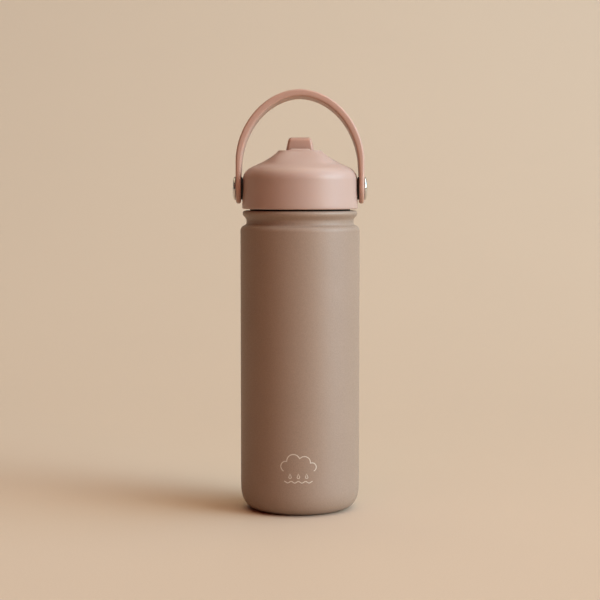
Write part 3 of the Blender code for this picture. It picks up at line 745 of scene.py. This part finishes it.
def squareBrow(bm):
    # moves the upper front outwards at its corners, so that its face is flatter than a cone
    power, foot = brow["power"], lidZ + lid["skirtTop"][1]
    for vertex in bm.verts:
        x, y = vertex.co.x, vertex.co.y
        radius = math.hypot(x, y)
        if y > 0 or vertex.co.z < foot or not 1 * mm <= radius <= brow["endRadius"]:
            continue
        square = (abs(x / radius) ** power + abs(y / radius) ** power) ** (-1 / power)
        fade = smoothStep((brow["endRadius"] - radius) / (brow["endRadius"] - brow["fullRadius"]))
        stretch = 1 + (square - 1) * fade
        vertex.co.x, vertex.co.y = x * stretch, y * stretch


def makeLidShell():
    y, z = spoutHinge.y, spoutHinge.z
    section = [(0, lidZ), *lidLine(20, 34, 5), (0, plateauZ)]
    bm = lathe(section, 180)
    squareBrow(bm)
    nearby = [e for e in bm.edges if all(isNearLip(v.co, 1.5 * mm) for v in e.verts)]
    bmesh.ops.subdivide_edges(bm, edges=nearby, cuts=2, use_grid_fill=True)
    for vertex in bm.verts:
        if isNearLip(vertex.co, 2 * mm):
            height = lipHeight(vertex.co.x, vertex.co.y)
            vertex.co.z = smoothMax(vertex.co.z, height, lip["blendHeight"])

    ledge = lidZ + lid["ledgeHeight"]
    below = lidZ - 5 * mm
    within = [
        p
        for p in shiftLine(lidLine(8, 8, 1), lid["wall"])
        if p[1] > lidZ + lid["skirtTop"][1] - 1 * mm and p[0] < lid["ledgeBore"]
    ]
    hollow = [
        (0, below),
        (lid["skirtBore"], below),
        (lid["skirtBore"], ledge),
        (lid["ledgeBore"], ledge),
        *within,
        (0, plateauZ - lid["wall"]),
    ]
    cavity = lathe(hollow, 96)
    housing = slab(pocketLine(pocket["housingWall"]), pocket["halfWidth"] + pocket["housingWall"])
    cavity = carve(cavity, housing)
    outside, pivotZ = lidHoles["outside"], handlePivot.z
    bosses = sideRods(lidHoles["bossRadius"], lidHoles["bossFrom"], outside, pivotZ)
    bm = carve(bm, carve(cavity, bosses))

    room = slab(pocketLine(0.0), pocket["halfWidth"])
    upright = [
        e
        for e in room.edges
        if all(abs(v.co.y - (y - pocket["radius"])) < 1e-6 for v in e.verts)
        and abs(e.verts[0].co.z - e.verts[1].co.z) > 1 * mm
    ]
    bmesh.ops.bevel(
        room,
        geom=upright,
        offset=pocket["cornerRadius"],
        offset_type="OFFSET",
        affect="EDGES",
        segments=6,
        profile=0.5,
        material=-1,
    )
    bm = carve(bm, room)
    floor = pocket["floorZ"]
    foot, step = floor - lidHoles["stemDepth"], floor - lidHoles["seatDepth"]
    top, narrow, wide = floor + lidHoles["spare"], lidHoles["stemRadius"], lidHoles["seatRadius"]
    seat = lathe([(0, foot), (narrow, foot), (narrow, step), (wide, step), (wide, top), (0, top)], 64)
    bmesh.ops.translate(seat, vec=(0, y, 0), verts=seat.verts)
    bm = carve(bm, seat)
    pinReach = pocket["halfWidth"] + lidHoles["pinDepth"]
    bm = carve(bm, rod(lidHoles["pinRadius"], (-pinReach, y, z), (pinReach, y, z), 32))
    bm = carve(bm, sideRods(lidHoles["insertRadius"], lidHoles["insertFrom"], outside, pivotZ, 32))
    makePiece("lidShell", bm, "lid", "lid_shell", "lidPlastic")


makeLidShell()
print("lid shell done")

plug = inMetres(
    radius=29.3,
    wall=2.5,
    low=167.0,
    groove=28.6,
    grooveLow=181.0,
    flangeLow=185.0,
    flangeHigh=187.1,
    flangeRadius=32.6,
    flangeEdge=0.4,
    innerEdge=0.5,
    outerEdge=0.8,
    threadLow=169.5,
    threadRoot=28.9,
    crest=30.3,
)


def makePlug():
    bore, low = plug["radius"] - plug["wall"], plug["low"]
    section = [
        (bore, low),
        (plug["radius"], low),
        (plug["radius"], plug["grooveLow"]),
        (plug["groove"], plug["grooveLow"]),
        (plug["groove"], plug["flangeLow"]),
        (plug["flangeRadius"], plug["flangeLow"]),
        (plug["flangeRadius"], plug["flangeHigh"]),
        (bore, plug["flangeHigh"]),
    ]
    flangeEdge = plug["flangeEdge"]
    bm = lathe(section, 144, {0: plug["innerEdge"], 1: plug["outerEdge"], 5: flangeEdge, 6: flangeEdge})
    ridge = makeThread(plug["threadRoot"], plug["crest"], plug["threadLow"])
    makePiece("threadedPlug", carve(bm, ridge, "UNION"), "lid", "threaded_plug", "plugPlastic", 40)


cap = inMetres(
    discRadius=26.5,
    thick=1.8,
    edge=0.3,
    innerRing=(11.0, 12.4),
    outerRing=(22.6, 24.0),
    ringSlope=0.3,
    ringDepth=0.35,
    tubeBore=5.0,
    tubeRadius=7.0,
    tubeTop=200.0,
)
vent = inMetres(
    y=-16.0,
    hole=1.5,
    stem=1.2,
    stemTop=3.8,  # heights from the plug's lower face
    barb=2.1,
    barbHeight=2.3,
    barbFoot=2.1,
    cup=3.4,
    cupLow=-1.2,
    cupRim=-0.7,
    gap=0.3,
)


def makePlugCap():
    # the disc that closes the plug, with its centre tube and two moulded rings
    low, disc, tube = plug["low"], cap["discRadius"], cap["tubeRadius"]
    top, ringTop, slope = low + cap["thick"], low + cap["ringDepth"], cap["ringSlope"]
    section = [(cap["tubeBore"], low)]
    for start, end in (cap["innerRing"], cap["outerRing"]):
        section += [(start, low), (start + slope, ringTop), (end - slope, ringTop), (end, low)]
    section += [(disc, low), (disc, top), (tube, top)]
    section += [(tube, cap["tubeTop"]), (cap["tubeBore"], cap["tubeTop"])]
    bm = lathe(section, 96, {9: cap["edge"]})
    bm = carve(bm, rod(vent["hole"], (0, vent["y"], low - 2 * mm), (0, vent["y"], low + 5 * mm), 32))
    makePiece("plugCap", bm, "lid", "plug_cap", "plugPlastic", 40)


gasket = inMetres(
    low=181.3, high=184.8, radius=30.65, inner=28.9, rounding=0.6, notch=0.45, notchHalf=0.5, notchRound=0.2
)


def makeGasket():
    # a soft ring with a notch round its outer face
    middle = (gasket["low"] + gasket["high"]) / 2
    section = [
        (gasket["inner"], gasket["low"]),
        (gasket["radius"], gasket["low"]),
        (gasket["radius"], middle - gasket["notchHalf"]),
        (gasket["radius"] - gasket["notch"], middle),
        (gasket["radius"], middle + gasket["notchHalf"]),
        (gasket["radius"], gasket["high"]),
        (gasket["inner"], gasket["high"]),
    ]
    rounding = gasket["rounding"]
    bm = lathe(section, 144, {1: rounding, 3: gasket["notchRound"], 5: rounding})
    # the gasket's near-black colour also paints the shade in the gap between lid and rim
    makePiece("neckGasket", bm, "gasket", "neck_gasket", "darkSiliconeGapShade", 50)


straw = inMetres(
    socketLow=164.0,
    socketStep=166.7,
    socketHigh=178.0,
    socketBore=3.9,
    socketCollar=6.4,
    socketNeck=4.7,
    boreEdge=0.4,
    collarEdge=0.6,
    stepEdge=0.5,
    tubeBore=2.75,
    tubeEdge=0.35,
)


def makeStraw():
    low, step, high = straw["socketLow"], straw["socketStep"], straw["socketHigh"]
    grip, outer, neck = straw["socketBore"], straw["socketCollar"], straw["socketNeck"]
    section = [(grip, low), (outer, low), (outer, step), (neck, step), (neck, high), (grip, high)]
    bm = lathe(section, 72, {0: straw["boreEdge"], 1: straw["collarEdge"], 2: straw["stepEdge"]})
    makePiece("strawSocket", bm, "lid", "straw_socket", "clearSilicone", 50)
    strawLow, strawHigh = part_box("straw")
    bore, radius = straw["tubeBore"], strawHigh.x
    tube = [(bore, strawLow.z), (radius, strawLow.z), (radius, strawHigh.z), (bore, strawHigh.z)]
    bm = lathe(tube, 64, {i: straw["tubeEdge"] for i in range(4)})
    makePiece("straw", bm, "lid", "straw", "strawPlastic", 50)


def makeVentValve():
    low, stem, cup = plug["low"], vent["stem"], vent["cup"]
    section = [
        (0, low + vent["cupLow"]),
        (cup - 0.6 * mm, low + vent["cupLow"] + 0.05 * mm),
        (cup, low + vent["cupRim"]),
        (cup, low - vent["gap"]),
        (stem, low - vent["gap"]),
        (stem, low + vent["barbFoot"]),
        (vent["barb"], low + vent["barbHeight"]),
        (stem, low + vent["stemTop"]),
        (0, low + vent["stemTop"]),
    ]
    bm = lathe(section, 48, {1: 0.4 * mm, 6: 0.3 * mm, 7: 0.4 * mm})
    place = Matrix.Translation((0, vent["y"], 0))
    makePiece("ventValve", bm, "lid", "vent_valve", "clearSilicone", 50, place)


valve = inMetres(
    rise=0.25,
    head=5.9,
    headEdge=0.4,
    headLow=-0.7,  # from the floor of the spout's room, as is the next
    neckLow=-2.2,
    neck=5.0,
    stem=4.6,
    stemHigh=199.5,
    stemLow=190.0,
    bore=2.4,
    boreFlare=0.9,
)


def tubeStation(z, radius, y):
    return Matrix.Translation((0, y, z)) @ Matrix.Diagonal((radius, radius, 1, 1))


def makeSpoutValve():
    # the soft seat under the spout: a raised ring on a flat head, and a leaning stem
    y, floor = spoutHinge.y, pocket["floorZ"]
    circle = [(math.cos(math.tau * i / 48), math.sin(math.tau * i / 48), 0) for i in range(48)]
    head, stem, bore, edge = valve["head"], valve["stem"], valve["bore"], valve["headEdge"]
    top, headLow, neckLow = floor + valve["rise"], floor + valve["headLow"], floor + valve["neckLow"]
    levels = (
        (top, head - edge, y),
        (top - 0.3 * edge, head - 0.3 * edge, y),
        (top - edge, head, y),
        (headLow, head, y),
        (headLow - 0.01 * mm, valve["neck"], y),
        (neckLow, valve["neck"], y),
        (valve["stemHigh"], stem, 0),
        (valve["stemLow"], stem, 0),
    )
    bm = sweep(circle, [tubeStation(z, r, middle) for z, r, middle in levels])
    tidyMesh(bm)
    flow = ((top + 1 * mm, bore + valve["boreFlare"], y), (top - 0.2 * mm, bore, y), (neckLow, bore, y))
    flow += ((valve["stemHigh"], bore, 0), (valve["stemLow"] - 1 * mm, bore, 0))
    inside = sweep(circle, [tubeStation(z, r, middle) for z, r, middle in flow])
    tidyMesh(inside)
    makePiece("spoutValve", carve(bm, inside), "lid", "spout_valve", "clearSilicone", 50)


makePlug()
makePlugCap()
makeGasket()
makeStraw()
makeVentValve()
makeSpoutValve()
print("plug, gasket, straw and valves done")

# the spout is built about its hinge line, so heights below are from that line
spout = inMetres(
    knuckle=9.0,
    heelY=-8.9,
    heelTop=10.7,
    length=29.0,
    halfWidth=8.5,
    topHalf=6.8,
    tipHalf=7.0,
    tipTop=6.0,
    tipLow=-0.9,
    rounding=2.1,
    under=-2.4,
    underFrom=14.0,
    underTo=22.0,
    flareZ=3.0,
    edge=2.05,
    bore=2.6,
    boreLow=-0.2,
    boreHigh=2.5,
    boreFrom=-12.0,
    boreTo=33.0,
    pinRadius=1.6,
    pinFrom=4.4,
    pinTo=12.0,
)
hingePin = inMetres(radius=1.5, start=4.7, end=10.0, edge=0.25)


def spoutLine():
    rounding, length, knuckle = spout["rounding"], spout["length"], spout["knuckle"]
    heelLow = math.degrees(math.asin(math.sqrt(1 - (spout["heelY"] / knuckle) ** 2)))
    underAngle = math.degrees(math.asin(spout["under"] / knuckle))
    heel = (spout["heelY"] + rounding, spout["heelTop"] - rounding)
    return [
        *arcLine(heel, rounding, 180, 99, 5),
        *arcLine((length - rounding, spout["tipTop"] - rounding), rounding, 80, 0, 7),
        *arcLine((length - rounding, spout["tipLow"] + rounding), rounding, 0, -90, 7),
        *curveLine(
            (length - rounding, spout["tipLow"]),
            (spout["underTo"], spout["tipLow"]),
            (spout["underTo"] - 2 * mm, spout["under"]),
            (spout["underFrom"], spout["under"]),
            8,
        ),
        *arcLine((0, 0), knuckle, underAngle, heelLow - 180, 24),
    ]


def insetLine(outline, distance):
    # a closed side view drawn smaller all round
    line = [Vector(point) for point in outline]
    inset = []
    for before, here, after in zip(line[-1:] + line[:-1], line, line[1:] + line[:1]):
        first, second = (here - before).normalized(), (after - here).normalized()
        inward = Vector((first.y + second.y, -first.x - second.x)) / (1 + first.dot(second))
        inset.append(here + inward * distance)
    return inset


def makeSpout():
    # rings of the side view, drawn smaller towards each side for the rounded edges
    steps, edge, half = 7, spout["edge"], spout["halfWidth"]
    turns = [math.pi / 2 * i / steps for i in range(steps + 1)]
    rings = [(-half + edge * (1 - math.cos(t)), edge * (1 - math.sin(t))) for t in turns]
    rings += [(-x, inset) for x, inset in reversed(rings)]
    bm = bmesh.new()
    loops = []
    for x, inset in rings:
        verts = [bm.verts.new((x, y, z)) for y, z in insetLine(spoutLine(), inset)]
        loops.append([bm.edges.new(pair) for pair in zip(verts, verts[1:] + verts[:1])])
        if abs(x) == half:
            bm.faces.new(verts)
    for earlier, later in zip(loops, loops[1:]):
        bmesh.ops.bridge_loops(bm, edges=earlier + later)
    for axis, levels in ((2, range(-8, 11, 2)), (1, range(-6, 28, 3))):
        for level in levels:
            normal = Vector((0, axis == 1, axis == 2))
            whole = bm.verts[:] + bm.edges[:] + bm.faces[:]
            bmesh.ops.bisect_plane(bm, geom=whole, plane_co=normal * level * mm, plane_no=normal)
    for vertex in bm.verts:
        up = max((vertex.co.z - spout["flareZ"]) / (spout["heelTop"] - spout["flareZ"]), 0)
        out = smoothStep(vertex.co.y / spout["length"])
        narrow = max(up * (half - spout["topHalf"]), out * (half - spout["tipHalf"]))
        vertex.co.x *= 1 - narrow / half
    tidyMesh(bm)
    start, end = (0, spout["boreFrom"], spout["boreLow"]), (0, spout["boreTo"], spout["boreHigh"])
    bm = carve(bm, rod(spout["bore"], start, end, 48))
    bm = carve(bm, sideRods(spout["pinRadius"], spout["pinFrom"], spout["pinTo"], 0, 32))
    makePiece("spout", bm, "spout", "spout", "handlePlasticPaintedShade", 38, Matrix.Translation(spoutHinge))


def makePins():
    radius, start, end, edge = (hingePin[key] for key in ("radius", "start", "end", "edge"))
    for side, name in ((-1, "left"), (1, "right")):
        bm = lathe([(0, start), (radius, start), (radius, end), (0, end)], 32, {1: edge, 2: edge})
        turn = Matrix.Translation(spoutHinge) @ Matrix.Rotation(side * math.pi / 2, 4, "Y")
        makePiece("spoutPin" + name.title(), bm, "lid", "spout_pin_" + name, "polishedSteel", 40, turn)


makeSpout()
makePins()
print("spout done")

# the handle is built about its pivot line
handle = inMetres(
    halfWidth=9.0,
    thin=3.0,
    thick=4.45,
    rounding=1.3,
    archHalf=39.1,
    archCentre=16.2,
    archRise=43.7,
    growFrom=6.0,  # the strap thickens over this height
    growOver=33.0,
    pin=2.7,
)
legWidths = ((0, 9.3), (2.5, 9.28), (5, 9.2), (8, 9.08), (11, 9), (14, 9))  # height, half width
archPower = 1.91
handleLean = math.radians(-4.0)


def archStation(point, outward, halfWidth):
    rise = (point.z - handle["growFrom"]) / handle["growOver"]
    grown = math.sin(math.pi / 2 * min(max(rise, 0.0), 1.0))
    thick = handle["thin"] + (handle["thick"] - handle["thin"]) * grown
    station = Matrix.Identity(4)
    station.col[0] = (*(outward * thick), 0)
    station.col[1] = (0, halfWidth, 0, 0)
    station.col[2] = (*(outward.cross(Vector((0, 1, 0))) * mm), 0)
    station.col[3] = (*point, 1)
    return station


def makeHandle():
    half, archHalf = handle["halfWidth"], handle["archHalf"]
    right = Vector((1, 0, 0))
    stations = [archStation(Vector((archHalf, 0, z * mm)), right, w * mm) for z, w in legWidths]
    count, power = 96, 2 / archPower
    for i in range(count + 1):
        angle = math.pi * i / count
        c, s = math.cos(angle), math.sin(angle)
        x = archHalf * math.copysign(abs(c) ** power, c)
        z = handle["archCentre"] + handle["archRise"] * s**power
        slopeX = math.copysign(abs(x / archHalf) ** (archPower - 1), x) / archHalf
        slopeZ = (s**power) ** (archPower - 1) / handle["archRise"]
        outward = Vector((slopeX, 0, slopeZ)).normalized()
        stations.append(archStation(Vector((x, 0, z)), outward, half))
    stations += [
        archStation(Vector((-archHalf, 0, z * mm)), -right, w * mm) for z, w in reversed(legWidths)
    ]
    section = [(0, -1, 0), (0, 0, 0), (0, 1, 0), (-1, 1, 0), (-1, 0, 0), (-1, -1, 0)]
    bm = sweep(section, stations, capped=False)
    bmesh.ops.recalc_face_normals(bm, faces=bm.faces)
    corners = [e for e in bm.edges if len(e.link_faces) == 2 and e.calc_face_angle() > math.radians(60)]
    bmesh.ops.bevel(
        bm,
        geom=corners,
        offset=handle["rounding"],
        offset_type="OFFSET",
        affect="EDGES",
        segments=6,
        profile=0.5,
        material=-1,
    )
    for side in (1, -1):  # each open end is turned round the pivot to close the eye
        rim = [
            e
            for e in bm.edges
            if len(e.link_faces) == 1
            and all(v.co.z < 1e-6 and v.co.y > -1e-6 and v.co.x * side > 0 for v in e.verts)
        ]
        verts = list({v for e in rim for v in e.verts})
        bmesh.ops.spin(bm, geom=verts + rim, cent=(0, 0, 0), axis=(1, 0, 0), angle=-math.pi, steps=36)
    tidyMesh(bm, 2e-6)
    reach = archHalf + 5 * mm
    bm = carve(bm, rod(handle["pin"], (-reach, 0, 0), (reach, 0, 0), 48))
    place = Matrix.Translation(handlePivot) @ Matrix.Rotation(handleLean, 4, "X")
    makePiece("handle", bm, "handle", "handle", "handlePlasticPaintedShade", 50, place)


# along the pivot line, counted from the middle of the lid
screw = inMetres(
    headRadius=7.25,
    headHeight=1.9,
    headFrom=39.4,
    headEdge=0.3,
    shoulder=2.6,
    shoulderFrom=35.9,
    shoulderEdge=0.1,
    shank=1.5,
    tip=30.6,
)
insert = inMetres(inner=1.8, outer=2.8, start=30.1, end=34.6, edge=0.2)
washer = inMetres(inner=3.0, outer=7.0, start=33.0, end=35.9, edge=0.25, seat=35.35)
domePower = 2 / 2.3  # below 1 the screw's head is fuller than a half round


def screwLine():
    headFrom, radius, edge = screw["headFrom"], screw["headRadius"], screw["headEdge"]
    dome = []
    for i in range(1, 16):
        a = math.pi / 2 * i / 16
        height = (screw["headHeight"] - edge) * math.sin(a) ** domePower
        dome.append((radius * math.cos(a) ** domePower, headFrom + edge + height))
    return [
        (0, screw["tip"]),
        (screw["shank"], screw["tip"]),
        (screw["shank"], screw["shoulderFrom"]),
        (screw["shoulder"], screw["shoulderFrom"]),
        (screw["shoulder"], headFrom),
        (radius - edge, headFrom),
        (radius, headFrom + edge),
        *dome,
        (0, headFrom + screw["headHeight"]),
    ]


def ringLine(sizes):
    # the section of a plain ring
    inner, outer, start, end = (sizes[key] for key in ("inner", "outer", "start", "end"))
    return [(inner, start), (outer, start), (outer, end), (inner, end)]


def makePivots():
    for side, name in ((-1, "left"), (1, "right")):
        turn = Matrix.Translation(handlePivot) @ Matrix.Rotation(side * math.pi / 2, 4, "Y")
        bm = lathe(screwLine(), 96, {5: screw["shoulderEdge"]})
        makePiece("pivotScrew" + name.title(), bm, "lid", "pivot_screw_" + name, "polishedSteel", 50, turn)
        bm = lathe(ringLine(insert), 40, {i: insert["edge"] for i in range(4)})
        makePiece("pivotInsert" + name.title(), bm, "lid", "pivot_insert_" + name, "insertBrass", 50, turn)
        bm = lathe(ringLine(washer), 64, {2: washer["edge"]})
        bmesh.ops.transform(bm, matrix=turn, verts=bm.verts)
        bm = carve(bm, rod(washer["seat"], (0, 0, 180 * mm), (0, 0, 210 * mm), 240))
        # the washer's near-black colour also paints the shade in the gap between lid and handle
        makePiece("frictionWasher" + name.title(), bm, "lid", "friction_washer_" + name, "darkSiliconeGapShade", 40)


makeHandle()
makePivots()
print("handle and pivots done")

# nodes that keep their own mesh
keptNodes = {
    "base_plate": "flaskSteel",
    "vacuum_seal": "sealGlass",
    "getter": "getterMetal",
    "getter_clip": "flaskSteel",
    "insulation_foam": "whiteFoam",
}
for node, name in keptNodes.items():
    mesh = frame["nodes"][node].data
    mesh.materials.clear()
    mesh.materials.append(finish[name])
print("kept nodes finished")

studio = dict(
    sweepStart=0.38,
    sweepRadius=2.4,
    halfWidth=3.0,
    front=-3.0,
    height=3.0,
)
studioPaper = dict(
    colour=(0.585, 0.446, 0.34),
    roughness=0.6,
    specular=0.12,
    grain=900,
    shade=0.01,
    relief=0.01,
    cloud=3.0,
    drift=(0.006, 0.006, 0.006),
)


def makeStudio():
    start, radius = studio["sweepStart"], studio["sweepRadius"]
    line = [(studio["front"], 0.0), (-0.6, 0.0), (0.0, 0.0)]
    line += arcLine((start, radius), radius, -90, 0, 60)
    line.append((start + radius, studio["height"]))
    bm = bmesh.new()
    verts = [bm.verts.new((-studio["halfWidth"], y, z)) for y, z in line]
    edges = [bm.edges.new(pair) for pair in zip(verts, verts[1:])]
    made = bmesh.ops.extrude_edge_only(bm, edges=edges)["geom"]
    moved = [g for g in made if isinstance(g, bmesh.types.BMVert)]
    bmesh.ops.translate(bm, vec=(2 * studio["halfWidth"], 0, 0), verts=moved)
    mesh = bpy.data.meshes.new("studioSweep")
    bm.to_mesh(mesh)
    bm.free()
    mesh.shade_smooth()
    mesh.materials.append(makeFinish("studioPaper", studioPaper))
    backdrop = bpy.data.objects.new("studioSweep", mesh)
    bpy.context.scene.collection.objects.link(backdrop)


lights = {  # azimuth and elevation in degrees, distance and size in metres, colour, watts
    "warmKey": (45, 18, 2.6, (1.6, 1.4), (1, 0.66, 0.36), 19),
    "mainKey": (60, 20, 7, (4, 3.2), (0.7, 0.93, 1), 285),
    "coolKey": (75, 20, 7, (5, 3.7), (0.53, 0.82, 1), 318),
    "sideKey": (85, 50, 7, (6.5, 6), (0.58, 0.78, 0.96), 300),
    "topLight": (0, 89, 2.6, (3, 3), (1, 0.74, 0.48), 44),
    "backLight": (170, 75, 2.4, (2.4, 1.8), (0.6, 1, 0.75), 6),
    "fillLight": (0, 35, 4, (4, 2), (1, 0.05, 0.03), 17),
}
studioAir = {  # what each kind of ray meets beyond the backdrop: colour and strength
    "fill": ((1.0, 0.1, 0.05), 0.02),
    "Is Glossy Ray": ((0.8, 1.0, 0.9), 0.06),
    "Is Camera Ray": ((0.66, 0.55, 0.45), 1.0),
}
lookAt = Vector((0, 0, 0.12))


def makeLights():
    for name, (azimuth, elevation, distance, size, colour, power) in lights.items():
        data = bpy.data.lights.new(name, "AREA")
        data.shape = "RECTANGLE"
        data.size, data.size_y = size
        data.color = colour
        data.energy = power
        lamp = bpy.data.objects.new(name, data)
        bpy.context.scene.collection.objects.link(lamp)
        azimuth, elevation = math.radians(azimuth), math.radians(elevation)
        level = math.cos(elevation)
        away = Vector((math.sin(azimuth) * level, -math.cos(azimuth) * level, math.sin(elevation)))
        lamp.location = lookAt + away * distance
        lamp.rotation_euler = away.to_track_quat("Z", "Y").to_euler()


def makeAir():
    world = bpy.data.worlds.new("studioAir")
    world.use_nodes = True
    nodes, links = world.node_tree.nodes, world.node_tree.links
    nodes.clear()
    path = nodes.new("ShaderNodeLightPath")
    shader = None
    for ray, (colour, strength) in studioAir.items():
        background = nodes.new("ShaderNodeBackground")
        background.inputs["Color"].default_value = (*colour, 1)
        background.inputs["Strength"].default_value = strength
        if shader is None:
            shader = background
            continue
        blend = nodes.new("ShaderNodeMixShader")
        links.new(path.outputs[ray], blend.inputs[0])
        links.new(shader.outputs[0], blend.inputs[1])
        links.new(background.outputs[0], blend.inputs[2])
        shader = blend
    links.new(shader.outputs[0], nodes.new("ShaderNodeOutputWorld").inputs["Surface"])
    bpy.context.scene.world = world


camera = dict(lens=100.0, sensor=36.0, back=1.022, height=0.200, pitch=4.0)


def makeCamera():
    data = bpy.data.cameras.new("camera")
    data.lens, data.sensor_width = camera["lens"], camera["sensor"]
    data.clip_start, data.clip_end = 0.05, 20
    viewer = bpy.data.objects.new("camera", data)
    bpy.context.scene.collection.objects.link(viewer)
    viewer.location = (0, -camera["back"], camera["height"])
    viewer.rotation_euler = (math.radians(90 - camera["pitch"]), 0, 0)
    bpy.context.scene.camera = viewer


makeStudio()
makeLights()
makeAir()
makeCamera()
bpy.context.scene.view_settings.view_transform = "Standard"
print("studio done")
